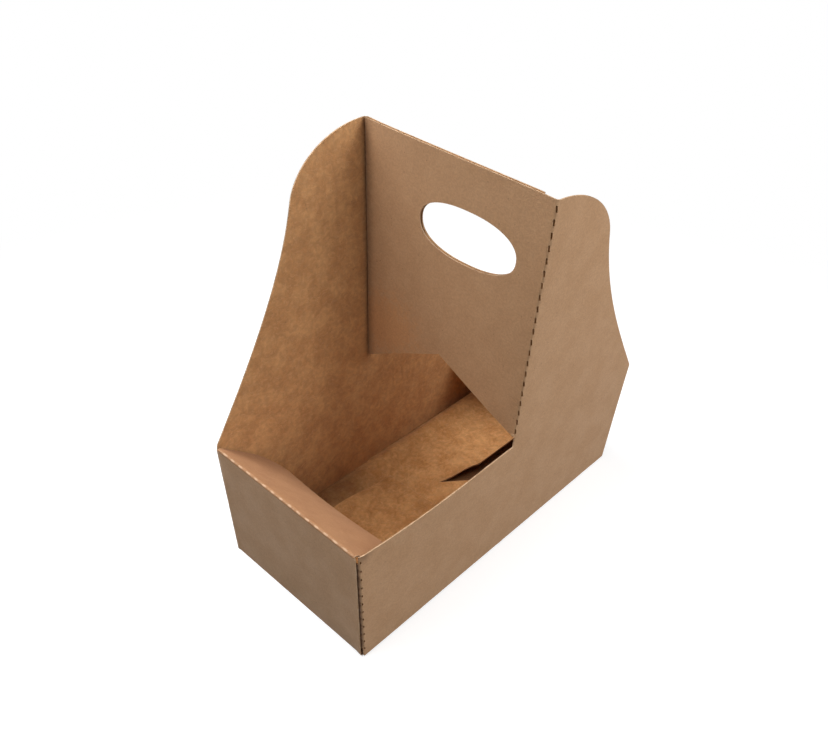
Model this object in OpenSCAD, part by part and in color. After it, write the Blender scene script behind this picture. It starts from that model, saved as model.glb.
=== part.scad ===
// Two-cup carrier tray, folded from one die-cut sheet of thin kraft board.
// The long side runs along X, the handle stands across the middle on X = 0, and the base is on Z = 0.
// The right wall is at -Y and the left wall at +Y. The front end is at -X.
// Walls, end panels and handle panels look the same after half a turn about Z.

/* [Tray] */
// Outside length, along the two cup places
tray_length = 200; // [180:1:230]
// Outside width, across one cup place
tray_width = 98; // [88:1:115]
// Height of the end panels and of the low walls beside them
wall_height = 66; // [56:1:76]
// Thickness of the board
board = 1; // [0.8:0.1:1.6]
// Depth of the gentle dip in the top edge of a low wall
wall_dip = 3; // [0:0.5:6]

/* [Handle] */
// Height of the handle's top edge above the base
handle_height = 184; // [170:1:210]
// How far above the end panels the handle panels leave the walls
foot_rise = 7; // [4:0.5:12]
// Rise of the notch under the handle, from its feet to its peak
notch_rise = 21.5; // [15:0.5:28]
// Gap between the free edge of a handle panel and the wall beyond it
panel_gap = 2; // [1:0.1:3]
// Length of the hand hole
grip_length = 51; // [44:1:60]
// Height of the hand hole
grip_height = 21.5; // [18:0.5:26]
// Distance from the handle's top edge down to the middle of the hand hole
grip_drop = 29.5; // [24:0.5:36]
// How far the hand hole stands off the middle, towards the right wall
grip_offset = 10; // [0:0.5:13]
// Squareness of the hand hole: 2 is an ellipse
grip_squareness = 2.3; // [2:0.1:3]

/* [Ears] */
// Distance from the middle of the handle out to the shoulder of an ear
shoulder_reach = 44.5; // [38:0.5:52]
// Distance from the handle's top edge down to the shoulder
shoulder_drop = 25.5; // [20:0.5:32]
// Lean of the ear's edge at the shoulder, from upright
shoulder_lean = 14.5; // [8:0.5:22]
// Pull of the flat crown on the ear's upper curve
crown_pull = 22; // [14:1:30]
// Pull of the shoulder on the ear's upper curve
shoulder_pull = 14.5; // [10:0.5:20]
// Pull of the shoulder on the ear's lower curve
waist_pull = 33.5; // [24:0.5:42]
// Pull of the end panel's corner on the ear's lower curve
corner_pull = 34; // [24:0.5:42]
// Slope of the ear's edge where it meets the end panel, from level
corner_slope = 53; // [45:1:60]

/* [End flaps] */
// Length of a roll-over end flap, from its crease to its free edge
flap_reach = 35; // [28:0.5:40]
// Radius of the flap's two free corners
flap_corner = 14; // [6:0.5:18]
// Slope of the resting flap, below level
flap_slope = 38; // [20:1:50]
// Side gap between a flap and the wall beside it
flap_gap = 1; // [0.5:0.1:2]

/* [Corner seams] */
// Width of the glue tab behind each end panel
tab_width = 18; // [12:0.5:24]
// Distance from the end panel's top edge down to the tab
tab_drop = 8; // [5:0.5:12]
// Height of the tab's lower edge above the base
tab_lift = 7; // [6:0.5:12]
// Height lost over the tab's slanted ends
tab_slant = 4; // [2:0.5:6]
// How far an end panel stops short of the wall that it is glued to
seam_gap = 1.2; // [0.6:0.1:2]

/* [Bottom] */
// Depth of the flap under each end panel
end_flap_depth = 26; // [20:1:32]
// Taper of every bottom flap along its length, on each side
side_taper = 5; // [2:0.5:8]
// Gap between a long bottom flap and the end panels
side_gap = 1.5; // [0.8:0.1:3]
// How far the right bottom flap reaches past the middle line in the front half
right_reach = 28.5; // [20:0.5:34]
// Where the right flap's deep half ends, measured forward from the handle
right_end = 6; // [4:0.5:12]
// How far the right bottom flap's back half reaches past the middle line, under the left flap
under_reach = 20; // [10:0.5:26]
// How far the left bottom flap stays from the middle line in the front half, under the right flap
left_short = 12; // [6:0.5:18]
// How far the left flap's locking tongue reaches past the middle line
tongue_reach = 28.5; // [20:0.5:34]
// How far the tongue passes forward under the right flap
tongue_lap = 10; // [4:0.5:16]
// Distance from the handle back to the tip of the locking slot
slot_tip = 9.5; // [6:0.5:16]
// Distance from the middle line out to the tip of the locking slot
slot_side = 4; // [2:0.5:8]
// Distance from the handle back to the widest part of the locking slot
slot_mouth = 34.5; // [28:0.5:44]
// How far the left flap's back half reaches past the middle line
left_reach = 5; // [2:0.5:7]
// Slope of the tongue's slanted side, from the long side of the tray
tongue_slope = 40; // [34:1:48]
// Height that the left flap's loose half springs up beside the locking slot
spring_rise = 4.6; // [1:0.1:7]
// Width over which it springs up, across the line of the tongue's slanted side
spring_width = 9; // [6:0.5:14]
// Height of the left flap's bulge along its wall, at the back end
bulge_rise = 5; // [1:0.1:7]
// Width of each side of the bulge
bulge_side = 7; // [5:0.5:9]

/* [Perforated creases] */
// Pitch of the cuts on the handle and tab creases
cut_pitch = 5.2; // [4:0.1:7]
// Length of one such cut
cut_length = 3; // [2:0.1:3.5]
// Pitch of the cuts on the end flaps' creases
flap_cut_pitch = 6.5; // [5:0.1:8]
// Length of one such cut
flap_cut_length = 3.4; // [2:0.1:4]
// Width of every cut
cut_width = 0.6; // [0.4:0.1:1]

/* [Hidden] */
$fn = 64;
curve_steps = 18;
hole_steps = 72;
// Overshoot of a cutting solid past the face that it cuts
over = 0.5;
// The two shades of the board: printed side out on the tray, and on the rolled-over flaps
sheet_colour = [0.60, 0.47, 0.36];
flap_colour = [0.70, 0.53, 0.39];

half_length = tray_length / 2;
half_width = tray_width / 2;
inner_half_width = half_width - board;
foot_height = wall_height + foot_rise;
peak_height = foot_height + notch_rise;
panel_free_edge = inner_half_width - panel_gap;
grip_centre = handle_height - grip_drop;
flap_width = 2 * (inner_half_width - flap_gap);
hinge_x = half_length - board;

// Length along the tray over which the left flap climbs on to the right flap's level
level_step = 2;
// Grid lines of the sprung left flap
sprung_x = [
    -half_length, -2 / 3 * half_length, -1 / 3 * half_length, -right_end - level_step / 2,
    for (i = [0:5]) let (start = level_step / 2 - right_end) start + i / 5 * (slot_mouth - start),
    (slot_mouth + half_length) / 2, half_length
];
sprung_y = [
    for (i = [0:7]) -tongue_reach + i / 8 * (tongue_reach + right_reach),
    right_reach, right_reach + bulge_side / 2, right_reach + bulge_side,
    inner_half_width - bulge_side, inner_half_width - bulge_side / 2, inner_half_width
];

// A smooth step from 0 at low to 1 at high
function step(low, high, value) =
    let (t = min(1, max(0, (value - low) / (high - low)))) t * t * (3 - 2 * t);

// Distance of the tongue's slanted side from the middle line
function tongue_side(x) = slot_side - (x - slot_tip) * tan(tongue_slope);

// Height of the left flap's lower face: under the right flap in front, then level with it and sprung up
function sprung_height(x, y) =
    let (
        level = board * (1 + step(-right_end - level_step / 2, level_step / 2 - right_end, x)),
        loose = step(0, spring_width, y - tongue_side(x)) * step(-right_end, slot_mouth, x),
        bulge = step(right_reach, right_reach + bulge_side, y) * step(-half_length, half_length, x),
        at_wall = 1 - step(inner_half_width - bulge_side, inner_half_width, y)
    ) level + at_wall * max(spring_rise * loose, bulge_rise * bulge);

// A smooth curve from a to d that leaves a towards b and reaches d from c
function curve(a, b, c, d) = [
    for (i = [0:curve_steps])
        let (t = i / curve_steps, s = 1 - t)
            s * s * s * a + 3 * s * s * t * b + 3 * s * t * t * c + t * t * t * d
];

function reversed(list) = [for (i = [len(list) - 1:-1:0]) list[i]];

// Height of the notch's edge at a distance y from the middle line
function notch_edge(y) = peak_height - notch_rise * abs(y) / half_width;

// Everything drawn once and again after half a turn
module twice() {
    children();
    rotate(180) children();
}

// A flat piece of board drawn in X and Z, standing on the right side with its outer face on -Y
module right_board() {
    translate([0, -inner_half_width, 0]) rotate([90, 0, 0]) linear_extrude(board) children();
}

// A flat piece of board drawn in Y and Z, with its front face at x
module cross_board(x) {
    translate([x, 0, 0]) rotate([90, 0, 90]) linear_extrude(board) children();
}

// A flat bottom flap drawn in X and Y, lying on the given layer of board
module floor_board(layer) {
    translate([0, 0, layer * board]) linear_extrude(board) children();
}

// A bottom flap drawn in X and Y, whose lower face has the height that sprung_height gives
module sprung_board() {
    nx = len(sprung_x);
    ny = len(sprung_y);
    sheet = nx * ny;
    points = [for (lift = [0, board], x = sprung_x, y = sprung_y) [x, y, sprung_height(x, y) + lift]];
    cells = [for (i = [0:nx - 2], j = [0:ny - 2]) i * ny + j];
    upper = [for (c = cells, t = [[c, c + 1, c + ny], [c + 1, c + ny + 1, c + ny]]) t + sheet * [1, 1, 1]];
    lower = [for (c = cells, t = [[c, c + ny, c + 1], [c + 1, c + ny, c + ny + 1]]) t];
    rim = concat(
        [for (i = [0:nx - 1]) i * ny],
        [for (j = [1:ny - 1]) (nx - 1) * ny + j],
        [for (i = [nx - 2:-1:0]) i * ny + ny - 1],
        [for (j = [ny - 2:-1:1]) j]
    );
    n = len(rim);
    sides = [
        for (k = [0:n - 1])
            let (a = rim[k], b = rim[(k + 1) % n])
                for (t = [[b, a, a + sheet], [b, a + sheet, b + sheet]]) t
    ];
    intersection() {
        polyhedron(points, concat(upper, lower, sides));
        linear_extrude(half_width) children();
    }
}

// A row of cuts along +Z, centred between two heights
module cut_row(low, high, deep) {
    cuts = floor((high - low) / cut_pitch);
    first = (low + high - (cuts - 1) * cut_pitch) / 2;
    for (i = [0:cuts - 1])
        translate([0, 0, first + i * cut_pitch])
            cube([cut_width, deep, cut_length], center = true);
}

// Outline of the right wall: low in front with a shallow dip, and rising to a tall ear at the back
module wall_outline() {
    shoulder = [shoulder_reach, handle_height - shoulder_drop];
    lean = [sin(shoulder_lean), -cos(shoulder_lean)];
    corner = [half_length, wall_height];
    crown = curve(
        [-board, handle_height], [crown_pull, handle_height],
        shoulder - shoulder_pull * lean, shoulder
    );
    flank = curve(
        shoulder, shoulder + waist_pull * lean,
        corner + corner_pull * [-cos(corner_slope), sin(corner_slope)], corner
    );
    low_front = [-hinge_x, wall_height];
    low_foot = [-board, foot_height];
    dip = [0, -wall_dip * 4 / 3];
    low_edge = curve(
        low_front, low_front + (low_foot - low_front) / 3 + dip,
        low_foot + (low_front - low_foot) / 3 + dip, low_foot
    );
    polygon(concat(
        [[-hinge_x, 0], [half_length, 0]],
        reversed(flank), reversed(crown), reversed(low_edge)
    ));
}

// Outline of the front handle panel: hinged on the right wall, notched below, free at its left edge
module handle_outline() {
    polygon([
        [-half_width, foot_height],
        [0, peak_height],
        [panel_free_edge, notch_edge(panel_free_edge)],
        [panel_free_edge, handle_height],
        [-half_width, handle_height]
    ]);
}

module grip_outline() {
    power = 2 / grip_squareness;
    polygon([
        for (i = [0:hole_steps - 1])
            let (a = 360 * i / hole_steps)
                [
                    -grip_offset + grip_length / 2 * sign(cos(a)) * pow(abs(cos(a)), power),
                    grip_centre + grip_height / 2 * sign(sin(a)) * pow(abs(sin(a)), power)
                ]
    ]);
}

// Front end panel: creased to the left wall, its right edge just short of the right wall's face
module end_panel_outline() {
    translate([-half_width + seam_gap, 0]) square([tray_width - seam_gap, wall_height]);
}

// Tab of the right wall, folded in behind the front end panel and glued to it
module tab_outline() {
    top = wall_height - tab_drop;
    polygon([
        [-half_width, tab_lift],
        [-inner_half_width, tab_lift],
        [-half_width + tab_width, tab_lift + tab_slant],
        [-half_width + tab_width, top - tab_slant],
        [-inner_half_width, top],
        [-half_width, top]
    ]);
}

// Bottom flap of the front end panel, as wide as the panel that it is creased to
module end_bottom_outline() {
    seam = -half_width + seam_gap;
    polygon([
        [-hinge_x, inner_half_width],
        [-hinge_x + end_flap_depth, inner_half_width - side_taper],
        [-hinge_x + end_flap_depth, seam + side_taper],
        [-hinge_x, seam]
    ]);
}

// Deep front half of the right bottom flap, which lies on top
module right_bottom_front_outline() {
    start = -hinge_x + side_gap;
    polygon([
        [start, -inner_half_width],
        [-right_end, -inner_half_width],
        [-right_end, right_reach],
        [start + side_taper, right_reach]
    ]);
}

// Back half of the right bottom flap, tucked under the left one
module right_bottom_back_outline() {
    finish = hinge_x - end_flap_depth - side_gap;
    polygon([
        [-right_end, -inner_half_width],
        [finish, -inner_half_width],
        [finish, under_reach],
        [-right_end, under_reach]
    ]);
}

// Left bottom flap: short in front, then its tongue, the locking slot and the back half
module left_bottom_outline() {
    start = -hinge_x + side_gap;
    finish = hinge_x - side_gap;
    slope_run = (slot_side + tongue_reach) / tan(tongue_slope);
    polygon([
        [start, inner_half_width],
        [start + side_taper, left_short],
        [-right_end - tongue_lap, left_short],
        [-right_end - tongue_lap, -tongue_reach],
        [slot_tip + slope_run, -tongue_reach],
        [slot_tip, slot_side],
        [slot_mouth, -left_reach],
        [finish - side_taper, -left_reach],
        [finish, inner_half_width]
    ]);
}

module bottom() {
    twice() floor_board(0) end_bottom_outline();
    floor_board(0) right_bottom_back_outline();
    sprung_board() left_bottom_outline();
    floor_board(2) right_bottom_front_outline();
}

// Cuts of the crease that joins the front handle panel to the right wall
module handle_crease_cuts() {
    translate([-board / 2, -inner_half_width + cut_width / 2, 0])
        rotate(90) cut_row(foot_height, handle_height, board + 2 * over);
}

// Cuts of the crease that joins the right wall to its glue tab
module tab_crease_cuts() {
    translate([-hinge_x + board + cut_width / 2, -half_width + board / 2, 0])
        cut_row(tab_lift, wall_height - tab_drop + tab_slant, board + 2 * over);
}

// The tray and handle: one sheet, creased at every corner and glued at the tabs, handle and bottom
module carrier_sheet() {
    color(sheet_colour) difference() {
        union() {
            twice() {
                right_board() wall_outline();
                cross_board(-board) handle_outline();
                cross_board(-half_length) end_panel_outline();
                cross_board(-hinge_x) tab_outline();
            }
            bottom();
        }
        twice() {
            handle_crease_cuts();
            tab_crease_cuts();
        }
        translate([-board - over, 0, 0])
            rotate([90, 0, 90]) linear_extrude(2 * (board + over)) grip_outline();
    }
}

// Flat roll-over flap with its crease on the Y axis, reaching along +X with its lower face on Z = 0
module flat_end_flap() {
    straight = flap_reach - flap_corner;
    cuts = floor(flap_width / flap_cut_pitch);
    difference() {
        linear_extrude(board) {
            translate([0, -flap_width / 2]) square([straight, flap_width]);
            translate([0, -flap_width / 2 + flap_corner]) square([flap_reach, flap_width - 2 * flap_corner]);
            for (side = [-1, 1])
                translate([straight, side * (flap_width / 2 - flap_corner)]) circle(flap_corner);
        }
        for (i = [0:cuts - 1])
            translate([0, (i - (cuts - 1) / 2) * flap_cut_pitch, board / 2])
                cube([2 * cut_width, flap_cut_length, board + 2 * over], center = true);
    }
}

// Flap on the front end panel's top crease, resting at its slope inside the tray
module front_end_flap() {
    color(flap_colour)
        translate([-hinge_x, 0, wall_height]) rotate([0, flap_slope, 0]) flat_end_flap();
}

// The same flap at the back end
module back_end_flap() {
    color(flap_colour) rotate(180)
        translate([-hinge_x, 0, wall_height]) rotate([0, flap_slope, 0]) flat_end_flap();
}

carrier_sheet();
front_end_flap();
back_end_flap();
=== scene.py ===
"""Dressed model of a two-cup carrier tray, folded from one die-cut sheet of kraft board.

Every part of the blank is drawn flat, as an outline with its cuts, and meshed there. It then gets the
thickness of the board, is folded and settled into place, and is dressed as smooth printed-side liner,
mottled inner liner and pale cut edge. All lengths are in metres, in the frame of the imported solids.
"""

import logging
import math
from collections.abc import Callable, Sequence
from dataclasses import dataclass, field
from enum import Enum

import bpy
import numpy as np
from mathutils import Matrix, Vector
from mathutils.geometry import delaunay_2d_cdt


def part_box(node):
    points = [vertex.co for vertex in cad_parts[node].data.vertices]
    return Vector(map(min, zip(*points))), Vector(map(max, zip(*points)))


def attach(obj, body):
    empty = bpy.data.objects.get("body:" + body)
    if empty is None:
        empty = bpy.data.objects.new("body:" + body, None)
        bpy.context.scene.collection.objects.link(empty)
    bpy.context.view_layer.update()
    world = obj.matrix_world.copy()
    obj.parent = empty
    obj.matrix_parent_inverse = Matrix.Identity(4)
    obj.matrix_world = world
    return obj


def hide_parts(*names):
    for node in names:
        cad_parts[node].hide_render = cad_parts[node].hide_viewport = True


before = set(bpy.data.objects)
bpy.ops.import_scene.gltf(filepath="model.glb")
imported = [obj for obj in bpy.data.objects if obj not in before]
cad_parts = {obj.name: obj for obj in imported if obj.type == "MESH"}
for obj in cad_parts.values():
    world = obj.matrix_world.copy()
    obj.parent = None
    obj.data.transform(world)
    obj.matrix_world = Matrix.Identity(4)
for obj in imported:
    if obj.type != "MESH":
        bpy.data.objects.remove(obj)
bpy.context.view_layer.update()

MM = 0.001

Point = tuple[float, float]
Colour = tuple[float, float, float, float]
Shift = tuple[float, float, float]
Place = Callable[[np.ndarray, np.ndarray, np.ndarray], np.ndarray]

log = logging.getLogger("carrier")


def srgb(red: int, green: int, blue: int) -> Colour:
    """Turns a colour as seen on a screen, 0 to 255, into the linear colour that shaders take."""
    def linear(level: int) -> float:
        """The linear share of one channel."""
        share = level / 255
        return share / 12.92 if share <= 0.04045 else ((share + 0.055) / 1.055) ** 2.4

    return (linear(red), linear(green), linear(blue), 1.0)


def smooth(low: float, high: float, value: np.ndarray) -> np.ndarray:
    """A step that rises smoothly from 0 at low to 1 at high."""
    share = np.clip((value - low) / (high - low), 0.0, 1.0)
    return share * share * (3 - 2 * share)


class Surface(Enum):
    """What a face of the board shows, in the order of its material slots."""

    OUTER = 0
    INNER = 1
    EDGE = 2
    SLIT = 3


@dataclass(frozen=True)
class Tray:
    """Sizes that the parts of the tray share."""

    length: float
    width: float
    handle_height: float
    wall_height: float = 66 * MM
    board: float = 1 * MM
    foot_rise: float = 7 * MM
    notch_rise: float = 21.5 * MM
    panel_gap: float = 0.2 * MM
    side_gap: float = 1.5 * MM
    seam_gap: float = 1.2 * MM

    @classmethod
    def from_frame(cls) -> "Tray":
        """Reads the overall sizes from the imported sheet."""
        low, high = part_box("carrier_sheet")
        return cls(length=high.x - low.x, width=high.y - low.y, handle_height=high.z)

    @property
    def half_length(self) -> float:
        """Half of the outside length."""
        return self.length / 2

    @property
    def half_width(self) -> float:
        """Half of the outside width."""
        return self.width / 2

    @property
    def hinge_x(self) -> float:
        """Distance from the handle out to a roll-over flap's hinge line."""
        return self.half_length - self.board

    @property
    def inner_half_width(self) -> float:
        """Distance from the middle line out to the inner face of a side wall."""
        return self.half_width - self.board

    @property
    def foot_height(self) -> float:
        """Height at which the handle panels leave the walls."""
        return self.wall_height + self.foot_rise

    @property
    def peak_height(self) -> float:
        """Height of the notch under the handle."""
        return self.foot_height + self.notch_rise

    def notch_edge(self, side: float) -> float:
        """Height of the notch's edge at a distance from the middle line."""
        return self.peak_height - self.notch_rise * abs(side) / self.half_width


@dataclass(frozen=True)
class Settling:
    """How the folded board has settled a little out of true.

    The shifts are of the corners: right front, left front, right back and left back, or right and left at
    the top of the handle. Between corners the board follows evenly, and then bows and waves a little.
    """

    tray: Tray
    base: Sequence[Shift] = ((1.9, 2.3, 0.0), (1.0, -2.6, 0.0), (-1.5, 0.6, 0.0), (-1.0, -0.6, 0.0))
    rim: Sequence[Shift] = ((0.0, 1.9, 0.0), (0.0, -1.9, 0.0), (0.0, -1.6, 0.0), (0.0, 0.6, 0.0))
    top: Sequence[Shift] = ((1.0, -2.0, 0.2), (0.0, 2.8, 9.0))
    foot_slide: float = -2.5 * MM
    wall_bow: float = 1.2 * MM
    panel_bow: float = 0.6 * MM
    wave: float = 0.3 * MM

    @staticmethod
    def _between(share: np.ndarray, low: np.ndarray, high: np.ndarray) -> np.ndarray:
        """Shifts part of the way from one end to the other."""
        return (1 - share)[:, None] * low + share[:, None] * high

    def apply(self, place: np.ndarray) -> np.ndarray:
        """Moves points of the true folded shape to where the settled board has them.

        Args:
            place: Points, one to a row.

        Returns:
            The moved points.
        """
        tray = self.tray
        x, y, z = place.T
        back = np.clip(0.5 + x / tray.length, 0, 1)
        left = np.clip(0.5 + y / tray.width, 0, 1)
        up = np.clip(z / tray.wall_height, 0, 1)
        over = np.clip((z - tray.wall_height) / (tray.handle_height - tray.wall_height), 0, 1)
        base, rim = (
            self._between(back, self._between(left, shifts[0], shifts[1]),
                          self._between(left, shifts[2], shifts[3]))
            for shifts in (np.array(self.base) * MM, np.array(self.rim) * MM)
        )
        top = self._between(left, *(np.array(self.top) * MM))
        moved = place + self._between(over, self._between(up, base, rim), top)
        near_handle = 1 - smooth(15 * MM, 85 * MM, np.abs(x))
        moved[:, 0] += self.foot_slide * near_handle * up * (1 - over)
        at_side = smooth(0.8, 0.98, np.abs(y) / tray.half_width)
        low_half = np.sin(math.pi * np.clip(x * np.sign(y) / tray.half_length, 0, 1))
        ripple = np.sin(41 * x + 9 * z + 0.6) * np.sin(29 * z + 0.9)
        moved[:, 1] += np.sign(y) * at_side * (self.wall_bow * low_half * up**2 + self.wave * ripple * up)
        panels = (1 - at_side) * smooth(tray.foot_height - 6 * MM, tray.foot_height + 10 * MM, z)
        moved[:, 0] += self.panel_bow * np.sin(31 * y + 0.5) * np.sin(24 * z - 0.4) * panels
        return moved


@dataclass
class Cut:
    """A closed cut in the blank."""

    outline: list[Point]
    surface: Surface = Surface.EDGE

    @classmethod
    def slit(cls, middle: Point, width: float, height: float, lean: float = 0.0) -> "Cut":
        """A small perforation with cropped corners, whose upper end leans to one side.

        Args:
            middle: Its middle on the blank.
            width: Its width.
            height: Its height.
            lean: How far its upper end leans.

        Returns:
            The cut.
        """
        a, b = width / 2, height / 2
        crop = 0.4 * min(a, b)
        corners = [(a, b - crop), (a - crop, b), (crop - a, b), (-a, b - crop),
                   (-a, crop - b), (crop - a, -b), (a - crop, -b), (a, crop - b)]
        return cls([(middle[0] + x + lean * y / b, middle[1] + y) for x, y in corners], Surface.SLIT)


def cubic(start: Point, leave: Point, arrive: Point, end: Point, steps: int = 24) -> list[Point]:
    """Points of a smooth curve that leaves start towards leave and reaches end from arrive.

    Args:
        start: First point.
        leave: Pull at the start.
        arrive: Pull at the end.
        end: Last point.
        steps: Number of parts.

    Returns:
        The points, both ends among them.
    """
    points = []
    for i in range(steps + 1):
        t = i / steps
        s = 1 - t
        shares = (s**3, 3 * s * s * t, 3 * s * t * t, t**3)
        weighed = list(zip(shares, (start, leave, arrive, end)))
        points.append(tuple(sum(w * p[k] for w, p in weighed) for k in (0, 1)))
    return points


def oval(middle: Point, length: float, height: float, squareness: float, steps: int = 96) -> list[Point]:
    """Points of an ellipse that is squared off by squareness above 2.

    Args:
        middle: Its middle.
        length: Its length.
        height: Its height.
        squareness: 2 for a plain ellipse.
        steps: Number of points.

    Returns:
        The points of the closed outline.
    """
    power = 2 / squareness
    points = []
    for i in range(steps):
        c, s = math.cos(math.tau * i / steps), math.sin(math.tau * i / steps)
        points.append((middle[0] + length / 2 * math.copysign(abs(c) ** power, c),
                       middle[1] + height / 2 * math.copysign(abs(s) ** power, s)))
    return points


def round_fold(past: np.ndarray, radius: float) -> tuple[np.ndarray, np.ndarray, np.ndarray]:
    """Follows board round a right-angled fold.

    Args:
        past: How far along the board each point lies past the start of the rounding.
        radius: Radius of the fold at mid-thickness.

    Returns:
        The reach along the first panel, the reach along the second, and the angle turned.
    """
    angle = np.clip(past / radius, 0, math.pi / 2)
    before = np.minimum(past, 0)
    after = np.maximum(past - radius * math.pi / 2, 0)
    return before + radius * np.sin(angle), radius * (1 - np.cos(angle)) + after, angle


class Along(Enum):
    """Which way a fold runs on the blank."""

    COLUMN = 0
    ROW = 1


@dataclass(frozen=True)
class Fold:
    """A fold's or a mark's middle line on the blank, and the stretch that it runs over.

    A mark fades out over its reach, and a faint one starts part of the way there.
    """

    along: Along
    at: float
    low: float
    high: float
    reach: float = 0.9 * MM
    faint: float = 0.0

    def share(self, points: np.ndarray) -> np.ndarray:
        """How far out flat points lie in the mark, 1 where it ends."""
        across, on = points[:, self.along.value], points[:, 1 - self.along.value]
        past = np.maximum(np.maximum(self.low - on, on - self.high), 0)
        return self.faint + np.hypot(across - self.at, past) / self.reach


@dataclass
class Blank:
    """A piece of the flat blank, with its cuts and the folds that its mesh has to follow closely."""

    outline: list[Point]
    cuts: list[Cut] = field(default_factory=list)
    folds: list[Fold] = field(default_factory=list)
    painted_shades: list[Fold] = field(default_factory=list)
    stains_and_bounce_light: list[Fold] = field(default_factory=list)
    spacing: float = 2.2 * MM
    fold_reach: float = 1.56 * MM
    fold_step: float = 0.26 * MM
    clearance: float = 0.16 * MM
    rim_reach: float = 0.5 * MM

    def _loop(self, points: Sequence[Point], spacing: float) -> np.ndarray:
        """Splits the long sides of a closed outline.

        Args:
            points: Corners of the outline.
            spacing: Longest part.

        Returns:
            The corners and the points between them.
        """
        out = []
        for a, b in zip(points, list(points[1:]) + [points[0]]):
            parts = max(1, math.ceil(math.dist(a, b) / spacing))
            out += [(a[0] + (b[0] - a[0]) * i / parts, a[1] + (b[1] - a[1]) * i / parts) for i in range(parts)]
        return np.array(out)

    def _ticks(self, low: float, high: float, along: Along) -> np.ndarray:
        """Even grid lines from low to high, with close ones round each fold.

        Args:
            low: First line.
            high: Last line.
            along: Which folds cross these lines' direction.

        Returns:
            The places of the lines.
        """
        even = np.linspace(low, high, max(2, round((high - low) / self.spacing)))
        steps = round(self.fold_reach / self.fold_step)
        lines = []
        for fold in self.folds:
            if fold.along is along:
                even = even[np.abs(even - fold.at) > self.fold_reach + 0.3 * self.spacing]
                lines += [fold.at + i * self.fold_step for i in range(-steps, steps + 1)]
        return np.unique(np.concatenate([even, np.array(lines)]))

    def _distance(self, points: np.ndarray, loops: Sequence[np.ndarray]) -> np.ndarray:
        """Distance from each point to the nearest side of any loop.

        Args:
            points: Flat points.
            loops: Closed outlines.

        Returns:
            The distances.
        """
        best = np.full(len(points), np.inf)
        for loop in loops:
            a, b = loop, np.roll(loop, -1, axis=0)
            for i in range(0, len(a), 64):
                p, q = a[i:i + 64][None], b[i:i + 64][None]
                d = q - p
                t = np.clip(((points[:, None] - p) * d).sum(2) / (d * d).sum(2), 0, 1)
                near = np.linalg.norm(points[:, None] - (p + t[..., None] * d), axis=2).min(1)
                best = np.minimum(best, near)
        return best

    @staticmethod
    def _within(points: np.ndarray, loop: np.ndarray) -> np.ndarray:
        """Whether each point lies inside a closed loop.

        Args:
            points: Flat points.
            loop: The closed outline.

        Returns:
            True for the points inside.
        """
        found = np.zeros(len(points), bool)
        near = np.all((points >= loop.min(axis=0)) & (points <= loop.max(axis=0)), axis=1)
        s, v = points[near].T
        inside = np.zeros(len(s), bool)
        for (a, low), (b, high) in zip(loop, np.roll(loop, -1, axis=0)):
            if low != high:
                inside ^= ((low > v) != (high > v)) & (s < a + (v - low) * (b - a) / (high - low))
        found[near] = inside
        return found

    def mesh(self, name: str, place: Place, lifts: tuple[float, float]) -> bpy.types.Object:
        """Meshes the blank, thickens it and puts it in place.

        Args:
            name: Name of the new piece.
            place: Turns flat places and lifts off the reference surface into points.
            lifts: Lift of the outer and of the inner face.

        Returns:
            The new object, with its material slots still empty.
        """
        loops = [self._loop(self.outline, self.spacing)]
        loops += [self._loop(cut.outline, self.spacing) for cut in self.cuts]
        columns = self._ticks(loops[0][:, 0].min(), loops[0][:, 0].max(), Along.COLUMN)
        rows = self._ticks(loops[0][:, 1].min(), loops[0][:, 1].max(), Along.ROW)
        grid = np.stack(np.meshgrid(columns, rows, indexing="ij"), axis=2).reshape(-1, 2)
        grid = grid[self._distance(grid, loops) > self.clearance]
        flat = np.concatenate(loops + [grid]) / MM
        sides, first = [], 0
        for loop in loops:
            sides += [(first + i, first + (i + 1) % len(loop)) for i in range(len(loop))]
            first += len(loop)
        found = delaunay_2d_cdt([Vector(p) for p in flat], sides, [], 1, 1e-5)
        points = np.array([tuple(p) for p in found[0]]) * MM
        triangles = np.array(found[2])
        centres = points[triangles].mean(axis=1)
        blind = np.zeros(len(triangles), bool)
        for cut, loop in zip(self.cuts, loops[1:]):
            within = self._within(centres, loop)
            if cut.surface is Surface.SLIT:
                blind |= within
            else:
                triangles, centres, blind = triangles[~within], centres[~within], blind[~within]
        a, b, c = (points[triangles[:, i]] for i in range(3))
        area = (b[:, 0] - a[:, 0]) * (c[:, 1] - a[:, 1]) - (b[:, 1] - a[:, 1]) * (c[:, 0] - a[:, 0])
        triangles = np.where((area < 0)[:, None], triangles[:, ::-1], triangles)
        used = np.unique(triangles)
        renumber = np.full(len(points), -1)
        renumber[used] = np.arange(len(used))
        points, triangles = points[used], renumber[triangles]
        return self._solid(name, points, triangles[~blind], triangles[blind], place, lifts)

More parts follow.
